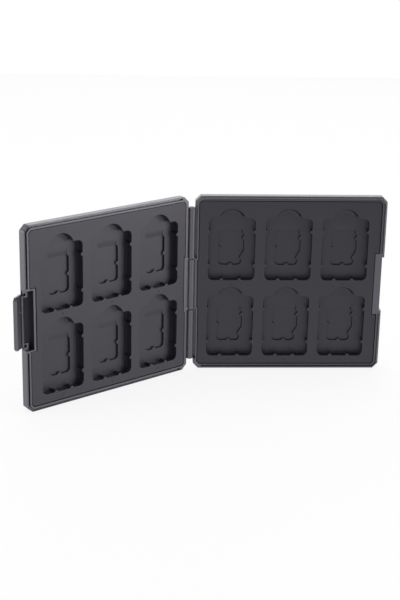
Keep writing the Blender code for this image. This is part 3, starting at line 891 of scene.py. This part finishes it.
@dataclass
class Piece:
    """What every piece has: its name, the CAD node that it replaces, its body, its finish."""

    name: str
    node: str
    body: str
    finish: MouldedPlastic | DrawnSteel

    def dress(self, item: bpy.types.Object, slot: str) -> bpy.types.Object:
        """Gives the piece its finish and its body, and hides the CAD node that it replaces.

        Args:
            item: The finished mesh.
            slot: Not used.

        Returns:
            The same object.
        """
        item.data.materials.append(self.finish.material())
        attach(item, self.body)
        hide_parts(self.node)
        return item


@dataclass
class CardTray(Piece):
    """A six-pocket card tray: face plate, skirt, cups behind it and the pockets themselves."""

    half: Half
    hinge_wall: float
    step_reach: float
    step_top: float
    notch_inner: float
    notch_top: float
    pocket: PocketSizes = PocketSizes()
    setback: float = 0.3 * MM
    face: float = 1.2 * MM
    clearance: float = 0.3 * MM
    hinge_gap: float = 0.3 * MM
    skirt: float = 1.1 * MM
    skirt_depth: float = 4.1 * MM
    corner: float = 1.2 * MM
    corner_round: float = 0.2 * MM
    edge_round: float = 0.2 * MM
    cup_wall: float = 0.9 * MM
    column_pitch: float = 28.46 * MM
    row_pitch: float = 40.53 * MM
    first_column: float = 20.17 * MM
    first_row: float = -22.565 * MM

    @property
    def centres(self) -> list[Point]:
        """Middle of each pocket."""
        return [(self.first_column + i * self.column_pitch, self.first_row + j * self.row_pitch)
                for i in range(3) for j in range(2)]

    def outline(self, inset: float) -> Outline:
        """The tray's own outline, drawn in where asked.

        Args:
            inset: How far it is drawn in.

        Returns:
            The outline.
        """
        gap = PANEL.wall + self.clearance + inset
        edge = PANEL.half_height - gap
        near = PANEL.hinge_reach + self.hinge_wall + self.hinge_gap + inset
        plain = Plan.chamfered(near, PANEL.free_edge - gap, -edge, edge, self.corner)
        top = self.step_top - math.copysign(inset, self.step_reach)
        return Plan.softened(Plan.stepped(plain, self.step_reach, top), self.corner_round)

    def plate(self) -> Moulding:
        """The face plate with its rounded front edge, its skirt and the pockets' cups.

        Returns:
            The plate, without its pockets.
        """
        front, inner = self.setback, self.setback + self.face
        body = Moulding(self.name, self.half)
        body.loft([(front + deep, self.outline(inset))
                   for deep, inset in Plan.rounded_edge(self.edge_round)]
                  + [(self.skirt_depth, self.outline(0))])
        body.cut(body.tool().prism(self.outline(self.skirt), inner, PAST * 5))
        cups, sizes = body.tool(), self.pocket
        half_w, half_h = sizes.width / 2 + self.cup_wall, sizes.height / 2 + self.cup_wall
        for u, z in self.centres:
            cup = Plan.rectangle(u - half_w, u + half_w, z - half_h,
                                 z + half_h + sizes.thumb_rise)
            cups.prism(Plan.softened(cup, sizes.corner + self.cup_wall, 8), inner - SINK,
                       PANEL.floor - self.clearance)
        return body.join(cups)

    def add_pocket(self, tool: Moulding, u: float, z: float) -> None:
        """Adds one pocket's cutter: rounded mouth, walls, coved floor and scooped notch.

        Args:
            tool: The cutter that it joins.
            u: Middle of the pocket across.
            z: Middle of the pocket in height.
        """
        sizes = self.pocket
        outline, coves = sizes.slot(u, z)
        mouth, size = sizes.mouth_round, len(outline)
        wall, top = sizes.floor - self.setback - mouth, z + sizes.height / 2 + SINK
        drops = [min(wall, cove * (sizes.cove_drop if height < top else sizes.thumb_drop))
                 for cove, (_, height) in zip(coves, outline)]
        sections = [(Plan.grown(outline, mouth), [-PAST] * size)]
        sections += [(Plan.grown(outline, inset), [self.setback + deep] * size)
                     for deep, inset in Plan.rounded_edge(mouth)]
        for a in (math.radians(10 * step) for step in range(1, 10)):
            run = 1 - math.cos(a)
            inward = run * (1 - sizes.thumb_hollow) + run ** 3 * sizes.thumb_hollow
            sections.append((Plan.grown(outline, [-cove * inward for cove in coves]),
                             [sizes.floor - drop * (1 - math.sin(a)) for drop in drops]))
        tool.through([[(p[0], deep, p[1]) for p, deep in zip(points, depths)]
                      for points, depths in sections])

    def add_recess(self, tool: Moulding, u: float, z: float) -> None:
        """Adds the cutter of a memory card recess, whose drafted walls round into its floor.

        Args:
            tool: The cutter that it joins.
            u: Middle of the pocket across.
            z: Middle of the pocket in height.
        """
        sizes = self.pocket
        shape = sizes.memory(u, z)
        drafts = [-sizes.memory_draft * (sizes.memory_steep if x < u - sizes.memory_neck else 1.0)
                  for x, _ in shape]
        tool.loft([(sizes.floor - SINK, shape)] + [
            (sizes.floor + sizes.memory_depth * deep,
             Plan.grown(shape, [draft * inward for draft in drafts]))
            for deep, inward in sizes.memory_steps])

    def add_ramp(self, tool: Moulding, u: float, z: float) -> None:
        """Adds the fingernail ramp above a memory card recess, steeper at its foot.

        Args:
            tool: The cutter that it joins.
            u: Middle of the pocket across.
            z: Middle of the pocket in height.
        """
        sizes = self.pocket
        floor, foot = sizes.floor, z + sizes.memory_top
        deep, middle = floor + sizes.ramp_depth, floor + sizes.ramp_depth * sizes.ramp_share
        bend, head = foot + sizes.ramp_bend, foot + sizes.ramp_length
        rise = head + (head - bend) * SINK / (middle - floor)
        profile = [(floor - SINK, foot - SINK), (deep, foot - SINK), (deep, foot),
                   (middle, bend), (floor - SINK, rise)]
        half_w = sizes.ramp_width / 2
        tool.through([[(x, t, h) for t, h in profile] for x in (u - half_w, u + half_w)])

    def add_gate(self, tool: Moulding, u: float, z: float) -> None:
        """Adds the dimple that the mould's gate leaves below a pocket.

        Args:
            tool: The cutter that it joins.
            u: Middle of the pocket across.
            z: Middle of the pocket in height.
        """
        sizes = self.pocket
        low = z - sizes.height / 2 - sizes.gate_drop
        tool.prism(Plan.circle((u, low), sizes.gate_radius, 16), -PAST,
                   self.setback + sizes.gate_depth)

    def build(self) -> bpy.types.Object:
        """Builds the tray and places it in the frame.

        Returns:
            The tray.
        """
        body = self.plate()
        for add in (self.add_pocket, self.add_recess, self.add_ramp, self.add_gate):
            tool = body.tool()
            for u, z in self.centres:
                add(tool, u, z)
            body.cut(tool)
        body.cut(body.tool().box(self.notch_inner, PANEL.free_edge + PAST, -PAST, PAST * 5,
                                 self.notch_top))
        return self.dress(body.finished(0.0, PANEL.matrix(self.half)), "tray_plastic")


@dataclass
class Shell(Piece):
    """What both shells share: the pan, its knuckles and the relief beside the others' knuckles."""

    half: Half
    hinge_wall: float
    barrel_radius: float = 1.7 * MM
    barrel_length: float = 79.5 * MM
    knuckle_gap: float = 0.3 * MM
    knuckle_ease: float = 0.25 * MM
    web_setback: float = 0.3 * MM
    bore: float = 0.9 * MM
    relief: float = 0.3 * MM
    relief_depth: float = 3.4 * MM
    relief_end: float = 0.6 * MM
    ease: float = 0.12 * MM

    @property
    def knuckles(self) -> list[Point]:
        """Heights of the three knuckles, bottom to top.

        Returns:
            The lower and the upper end of each.
        """
        length = (self.barrel_length - 2 * self.knuckle_gap) / 3
        pitch = length + self.knuckle_gap
        start = -self.barrel_length / 2
        return [(start + i * pitch, start + i * pitch + length) for i in range(3)]

    @property
    def wall_face(self) -> float:
        """Inner face of the hinge wall, as a distance from the hinge axis."""
        return PANEL.hinge_reach + self.hinge_wall

    def pan(self) -> Moulding:
        """The shallow pan: rounded rim, straight sides, soft back bevel and an open front.

        Returns:
            The pan.
        """
        side, back, soft = PANEL.side_depth, PANEL.depth, PANEL.bevel_round
        slant, near, far = back - side, soft * 0.2, soft * 0.7
        sections = [(PANEL.setback + deep, inset)
                    for deep, inset in Plan.rounded_edge(PANEL.rim_ease)]
        sections += [(side - soft, 0.0), (side, near), (side + far, far),
                     (back - far, slant - far), (back - near, slant), (back, slant + soft)]
        body = Moulding(self.name, self.half)
        body.loft([(t, PANEL.outline(inset)) for t, inset in sections])
        taper, wall, hinge_wall = PANEL.floor - side, PANEL.wall, self.hinge_wall
        mouth = PANEL.outline(wall, hinge_wall)
        floor = PANEL.outline(wall + taper, hinge_wall + taper)
        return body.cut(body.tool().loft([(-PAST, mouth), (side, mouth), (PANEL.floor, floor)]))

    def add_hinge(self, body: Moulding, own: list[Point], others: list[Point]) -> None:
        """Cuts the relief, adds this shell's knuckles and bores them.

        Args:
            body: The shell.
            own: Heights of the knuckles that it carries.
            others: Heights of the spaces for the other shell's knuckles.
        """
        reach = PANEL.hinge_reach
        notches = body.tool()
        for z0, z1 in others:
            notches.box(-PAST, reach + self.relief, -PAST, self.relief_depth, z1, z0)
        body.cut(notches)
        webs, barrels = body.tool(), body.tool()
        for z0, z1 in own:
            webs.box(0, reach + SINK, self.web_setback, self.barrel_radius, z1, z0)
            barrels.rod(0, 0, self.barrel_radius, z1, z0, self.knuckle_ease)
        body.join(webs).join(barrels)
        body.cut(body.tool().rod(0, 0, self.bore, self.barrel_length / 2 + PAST))


@dataclass
class BaseShell(Shell):
    """The half that faces forward: tongue round its rim, middle knuckle and the catch."""

    tongue_outer: float = 0.65 * MM
    tongue_inner: float = 1.25 * MM
    tongue_height: float = 1.2 * MM
    tongue_start: float = 5.95 * MM
    moat_width: float = 0.55 * MM
    moat_depth: float = 0.3 * MM
    tongue_round: float = 0.27 * MM
    relief: float = 1.2 * MM
    catch_width: float = 4.55 * MM
    catch_top: float = 16.0 * MM
    recess: float = 1.1 * MM
    recess_top: float = 14.1 * MM
    shoulder: float = 4.14 * MM
    hook_clear: float = 95.25 * MM
    seat_reach: float = 0.55 * MM
    seat_top: float = 12.4 * MM
    seat_depth: float = 4.4 * MM
    nib_radius: float = 0.6 * MM
    nib_sink: float = 0.3 * MM
    nib_heights: tuple[float, ...] = (5.1 * MM, 0.2 * MM)

    def add_tongue(self, body: Moulding) -> None:
        """Adds the tongue with its rounded tip and cuts the shallow moat inside it.

        Args:
            body: The shell.
        """
        tongues, moats = body.tool(), body.tool()
        front, tip = PANEL.setback - self.tongue_height, Plan.rounded_edge(self.tongue_round)
        sections = [(front + deep, inset) for deep, inset in tip]
        for side in (1, -1):
            tongues.loft([
                (t, PANEL.rim_strip(self.tongue_outer + inset, self.tongue_inner - inset,
                                    self.tongue_start + inset,
                                    self.catch_top + SINK + inset, side))
                for t, inset in sections + [(PANEL.setback + SINK, 0.0)]])
            moats.prism(PANEL.rim_strip(self.tongue_inner, self.tongue_inner + self.moat_width,
                                        self.tongue_start, self.catch_top, side),
                        -PAST, PANEL.setback + self.moat_depth)
        body.join(tongues).cut(moats)

    def build(self) -> bpy.types.Object:
        """Builds the base shell and places it in the frame.

        Returns:
            The base shell.
        """
        edge, face = PANEL.free_edge, self.wall_face
        body = self.pan()
        body.join(body.tool().box(edge - self.catch_width, edge - PANEL.wall + SINK,
                                  PANEL.setback, PANEL.floor + SINK, self.catch_top))
        body.cut(body.tool().box(face - self.seat_reach, face + SINK, -PAST, self.seat_depth,
                                 self.seat_top))
        self.add_tongue(body)
        lower, middle, top = self.knuckles
        end, gap = self.barrel_length / 2 + self.relief_end, self.knuckle_gap
        self.add_hinge(body, [middle], [(-end, lower[1] + gap), (top[0] - gap, end)])
        body.cut(body.tool().box(edge - self.recess, edge + PAST, -PAST,
                                 self.shoulder + SINK, self.recess_top))
        body.cut(body.tool().box(self.hook_clear, edge + PAST, self.shoulder,
                                 PANEL.depth + PAST, self.recess_top))
        nibs = body.tool()
        for height in self.nib_heights:
            nibs.ball(edge - self.recess - self.nib_sink, self.shoulder - self.nib_radius,
                      height, self.nib_radius)
        body.join(nibs)
        return self.dress(body.finished(self.ease, PANEL.matrix(self.half)), "shell_plastic")


@dataclass
class LidShell(Shell):
    """The half that carries the latch: groove round its rim, outer knuckles, latch window."""

    groove_outer: float = 0.5 * MM
    groove_inner: float = 1.4 * MM
    groove_depth: float = 1.35 * MM
    groove_start: float = 5.65 * MM
    boss_reach: float = 0.7 * MM
    boss_top: float = 14.3 * MM
    window_inner: float = 93.1 * MM
    window_top: float = 14.55 * MM
    frame_wall: float = 1.1 * MM
    end_wall: float = 0.7 * MM
    window_back: float = 4.5 * MM
    pivot_u: float = 96.65 * MM
    pivot_t: float = 3.24 * MM
    bearing_face: float = 11.15 * MM
    bearing_inner: float = 95.0 * MM
    bearing_front: float = 2.24 * MM
    bearing_slot: float = 0.8 * MM
    bearing_bore: float = 0.55 * MM
    core_inner: float = 95.95 * MM
    core_floor: float = 4.1 * MM
    core_span: Point = (11.75 * MM, 13.2 * MM)

    def add_grooves(self, body: Moulding, stop: float) -> None:
        """Cuts the grooves for the tongue into the rim.

        Args:
            body: The shell.
            stop: Height at which they end on the free edge.
        """
        grooves = body.tool()
        for side in (1, -1):
            grooves.prism(PANEL.rim_strip(self.groove_outer, self.groove_inner,
                                          self.groove_start, stop, side),
                          -PAST, self.groove_depth)
        body.cut(grooves)

    def add_window(self, body: Moulding) -> None:
        """Cuts the latch's window with its bearings, their cores and the pin's bore.

        Args:
            body: The shell.
        """
        inner, out, high = self.window_inner, PANEL.free_edge + PAST, self.window_top
        back, slot = self.window_back, self.bearing_slot / 2
        foot, head = self.core_span
        for u0, u1, t0, t1, top, bottom in (
            (inner, out, -PAST, back, self.bearing_face, None),
            (inner, out, -PAST, self.bearing_front, high, None),
            (inner, self.bearing_inner, -PAST, back, high, None),
            (self.pivot_u, out, self.pivot_t - slot, self.pivot_t + slot, high, None),
            (self.core_inner, out, -PAST, self.core_floor, head, foot),
            (self.core_inner, out, -PAST, self.core_floor, -foot, -head),
        ):
            body.cut(body.tool().box(u0, u1, t0, t1, top, bottom))
        body.cut(body.tool().rod(self.pivot_u, self.pivot_t, self.bearing_bore, high))

    def build(self) -> bpy.types.Object:
        """Builds the lid shell and places it in the frame.

        Returns:
            The lid shell.
        """
        face, frame_top = self.wall_face, self.window_top + self.end_wall
        body = self.pan()
        body.join(body.tool().box(self.window_inner - self.frame_wall,
                                  PANEL.free_edge - PANEL.wall + SINK, PANEL.setback,
                                  PANEL.floor + SINK, frame_top))
        body.join(body.tool().box(face - SINK, face + self.boss_reach, PANEL.setback,
                                  PANEL.floor + SINK, self.boss_top))
        self.add_grooves(body, frame_top + SINK)
        lower, middle, top = self.knuckles
        gap = self.knuckle_gap
        self.add_hinge(body, [lower, top], [(middle[0] - gap, middle[1] + gap)])
        self.add_window(body)
        return self.dress(body.finished(self.ease, PANEL.matrix(self.half)), "shell_plastic")


@dataclass
class Latch(Piece):
    """The swinging latch: plate, hook lip, inner rib and root, drawn about its own pin."""

    height: float = 25.9 * MM
    length: float = 8.43 * MM
    plate: float = 0.9 * MM
    plate_start: float = 1.5 * MM
    root_height: float = 21.7 * MM
    rib_height: float = 24.9 * MM
    rib_end: float = 2.73 * MM
    lip_length: float = 0.75 * MM
    lip_reach: float = 1.1 * MM
    tip_chamfer: float = 1.3 * MM
    rib_round: float = 0.55 * MM
    bore: float = 0.55 * MM
    nib_height: float = 4.7 * MM
    nib_reach: float = 3.1 * MM
    nib_sink: float = 0.15 * MM
    nib_radius: float = 0.45 * MM
    opening: float = math.radians(59)
    ease: float = 0.12 * MM

    def section(self) -> Outline:
        """Section of the plate and its lip: outwards, then towards the hook.

        Returns:
            The outline, about the pin's axis.
        """
        hook = self.length - self.lip_length
        return [(self.plate, self.plate_start), (self.plate, self.length),
                (-self.lip_reach, self.length), (-self.lip_reach, hook), (0.0, hook),
                (0.0, self.plate_start)]

    def cut_corners(self, body: Moulding) -> None:
        """Cuts both corners off the plate's tip, together with its lip.

        Args:
            body: The latch.
        """
        for side in (-1, 1):
            corner = sorted((side * (self.height / 2 - self.tip_chamfer + run),
                             Plan.rectangle(-PAST, PAST, self.length - run, self.length + PAST))
                            for run in (-SINK, self.tip_chamfer + SINK))
            body.cut(body.tool().upright(corner))

    def build(self, shell: LidShell) -> bpy.types.Object:
        """Builds the latch and returns it, open as it stands.

        Args:
            shell: The lid shell with the latch's bearings.

        Returns:
            The latch.
        """
        start, thick, end, r = self.plate_start, self.plate, self.rib_end, self.rib_round
        body = Moulding(self.name, Half.BASE).bar(self.section(), self.height / 2)
        self.cut_corners(body)
        rib = [(SINK, start), (SINK, end)]
        rib += Plan.arc((r - thick, end - r), r, 90, 180, 6) + [(-thick, start)]
        body.join(body.tool().bar(rib, self.rib_height / 2))
        root = Plan.arc((0, 0), thick, 180, 360, 16)
        root += [(thick, start + SINK), (-thick, start + SINK)]
        body.join(body.tool().bar(root, self.root_height / 2))
        body.cut(body.tool().rod(0, 0, self.bore, self.height / 2))
        body.join(body.tool().ball(self.nib_sink, self.nib_reach, self.nib_height,
                                   self.nib_radius))
        pivot = Matrix.Translation(Vector((shell.pivot_u, -shell.pivot_t, 0.0)))
        turn = Matrix.Rotation(-self.opening, 4, "Z")
        item = body.finished(self.ease, PANEL.matrix(Half.LID) @ pivot @ turn)
        return self.dress(item, "shell_plastic")


@dataclass
class SteelPin(Piece):
    """A steel wire pin with chamfered ends, held by the lid."""

    u: float
    t: float
    radius: float
    half_length: float
    chamfer: float = 0.15 * MM
    sides: int = 40

    def build(self) -> bpy.types.Object:
        """Builds the pin in the lid.

        Returns:
            The pin.
        """
        body = Moulding(self.name, Half.LID).rod(self.u, self.t, self.radius, self.half_length,
                                                 ease=self.chamfer, sides=self.sides)
        return self.dress(body.finished(0.0, PANEL.matrix(Half.LID)), "pin_steel")


@dataclass
class Studio:
    """Floor, white surroundings, soft lamps and the camera of the photograph."""

    lens: float = 79.8
    sensor: float = 36.0
    place: Spot = (-80.8 * MM, -638.16 * MM, 249.5 * MM)
    pitch: float = math.radians(18.47)
    yaw: float = math.radians(3.25)
    roll: float = math.radians(1.147)
    floor_size: Point = (1.56, 1.3)
    floor_middle: float = 0.3
    ambient: float = 0.6
    wall_top: float = 0.45
    ceiling: float = 0.85
    ceiling_tone: float = 0.25
    front_span: Point = (-0.2, -0.8)
    front_tone: float = 0.4
    aim: Spot = (0.0, 0.0, 0.045)

    @staticmethod
    def seen_directly(shader: Shader) -> Wire:
        """1 for camera, glossy and transmission rays, 0 for light that is scattered.

        Args:
            shader: The shader that asks.

        Returns:
            The mask.
        """
        camera, mirror, glass = (shader.node("ShaderNodeLightPath", {}, {}, f"Is {kind} Ray")
                                 for kind in ("Camera", "Glossy", "Transmission"))
        return (camera + mirror + glass).clamped()

    def camera(self) -> None:
        """Sets up the camera at the photograph's place and tilt."""
        data = bpy.data.cameras.new("camera")
        data.lens, data.sensor_width, data.sensor_fit = self.lens, self.sensor, "AUTO"
        data.clip_start, data.clip_end = 0.01, 20.0
        item = placed("camera", data)
        tilt = (Matrix.Rotation(-self.yaw, 4, "Z")
                @ Matrix.Rotation(math.pi / 2 - self.pitch, 4, "X")
                @ Matrix.Rotation(self.roll, 4, "Z"))
        item.matrix_world = Matrix.Translation(Vector(self.place)) @ tilt
        bpy.context.scene.camera = item

    def floor(self) -> None:
        """The pale floor under the case."""
        build = bmesh.new()
        size = Matrix.Diagonal((*self.floor_size, 1.0, 1.0))
        bmesh.ops.create_grid(build, x_segments=8, y_segments=8, size=0.5,
                              matrix=Matrix.Translation((0.0, self.floor_middle, 0.0)) @ size)
        data = bpy.data.meshes.new("studio_floor")
        build.to_mesh(data)
        build.free()
        data.materials.append(WhiteSweep().material())
        placed("studio_floor", data)

    def surroundings(self) -> None:
        """White round about for the camera and for reflections, softer as a light."""
        world = bpy.data.worlds.new("white_surroundings")
        bpy.context.scene.world = world
        shader = Shader(world)

        def fade(axis: str, start: float, stop: float, first: float, last: float) -> Wire:
            """A smooth change from one value to another along an axis of the surroundings.

            Args:
                axis: X, Y or Z.
                start: Where it begins.
                stop: Where it ends.
                first: Value before it.
                last: Value after it.

            Returns:
                The value.
            """
            along = shader.node("ShaderNodeSeparateXYZ", {}, {0: shader.place("Generated")}, axis)
            return shader.node("ShaderNodeMapRange", {"interpolation_type": "SMOOTHSTEP"}, {
                "Value": along, "From Min": start, "From Max": stop,
                "To Min": first, "To Max": last})

        seen = self.seen_directly(shader)
        wall = fade("Z", self.wall_top, self.ceiling, 1.0, self.ceiling_tone)
        front = fade("Y", *self.front_span, 0.0, 1.0 - self.front_tone)
        mirrored = shader.node("ShaderNodeLightPath", {}, {}, "Is Glossy Ray")
        strength = seen.spread(self.ambient, 1.0) * wall * (1.0 - front * mirrored)
        background = shader.node("ShaderNodeBackground", {},
                                 {"Color": (1.0, 1.0, 1.0, 1.0), "Strength": strength})
        shader.end(background, "ShaderNodeOutputWorld")

    def lamp(self, name: str, place: Spot, size: Point, power: float) -> None:
        """Adds a softbox that only the case sees.

        Args:
            name: Name of the lamp.
            place: Where it stands.
            size: Its width and height.
            power: Its power in watts.
        """
        data = bpy.data.lights.new(name, "AREA")
        data.shape, data.energy = "RECTANGLE", power
        data.size, data.size_y = size
        item = placed(name, data)
        item.location = place
        facing = Vector(place) - Vector(self.aim)
        item.rotation_euler = facing.to_track_quat("Z", "Y").to_euler()
        item.visible_camera = False

    def build(self) -> None:
        """Sets up the whole studio."""
        bpy.context.scene.view_settings.view_transform = "Standard"
        self.camera()
        self.floor()
        self.surroundings()
        self.lamp("overhead_softbox", (0.0, 0.1, 0.9), (0.9, 0.9), 5.0)
        self.lamp("back_softbox", (0.1, 0.95, 0.45), (1.6, 0.6), 3.5)
        self.lamp("left_softbox", (-0.85, -0.1, 0.18), (1.3, 0.34), 5.2)
        self.lamp("right_softbox", (0.75, -0.2, 0.17), (0.7, 0.32), 4.6)
        self.lamp("front_softbox", (-0.3, -0.85, 0.17), (0.5, 0.3), 1.3)


def main() -> None:
    """Builds the case, piece by piece, and the studio round it."""
    logging.basicConfig(level=logging.INFO, format="%(name)s: %(message)s")
    black, dusty = (0.005, 0.0048, 0.0058), (0.009, 0.0087, 0.0104)
    shell_black = MouldedPlastic("shell_black", black, dusty, 0.38)
    lid_black = MouldedPlastic("lid_shell_black", black, dusty, 0.38, seed=3.0)
    base_tray_black = MouldedPlastic("base_tray_black", black, dusty, 0.44, 1.6, seed=5.0)
    lid_tray_black = MouldedPlastic("lid_tray_black", black, dusty, 0.44, 1.61, seed=7.0)
    latch_black = MouldedPlastic("latch_black", black, dusty, 0.36, seed=9.0)
    steel = DrawnSteel("pin_wire")
    # The latch pin's steel is near black: painted shade, standing in for the shade in its bearing
    # slot.
    shade_dark_steel = DrawnSteel("latch_pin_painted_shade", (0.05, 0.05, 0.052), (0.035, 0.035, 0.037))

    base_wall, lid_wall = 1.85 * MM, 1.7 * MM
    lid_shell = LidShell("lid_shell_moulding", "lid_shell", "lid", lid_black, Half.LID, lid_wall)
    pieces = [
        BaseShell("base_shell_moulding", "base_shell", "base", shell_black, Half.BASE,
                  base_wall).build(),
        CardTray("base_tray_moulding", "base_tray", "base", base_tray_black, Half.BASE,
                 base_wall, step_reach=0.55 * MM, step_top=12.1 * MM, notch_inner=92.5 * MM,
                 notch_top=16.3 * MM).build(),
        lid_shell.build(),
        CardTray("lid_tray_moulding", "lid_tray", "lid", lid_tray_black, Half.LID,
                 lid_wall, step_reach=-0.7 * MM, step_top=14.6 * MM, notch_inner=91.4 * MM,
                 notch_top=15.55 * MM, pocket=PocketSizes(thumb_run=1.5 * MM),
                 hinge_gap=0.1 * MM).build(),
        Latch("latch_moulding", "latch", "latch", latch_black).build(lid_shell),
        SteelPin("hinge_wire", "hinge_pin", "lid", steel, 0.0, 0.0, 0.8 * MM,
                 38.35 * MM).build(),
        SteelPin("latch_wire", "latch_pin", "lid", shade_dark_steel, lid_shell.pivot_u,
                 lid_shell.pivot_t, 0.45 * MM, 14.4 * MM).build(),
    ]
    for piece in pieces:
        LOG.info("%s: %d faces", piece.name, len(piece.data.polygons))
    Studio().build()


if __name__ == "__main__":
    main()
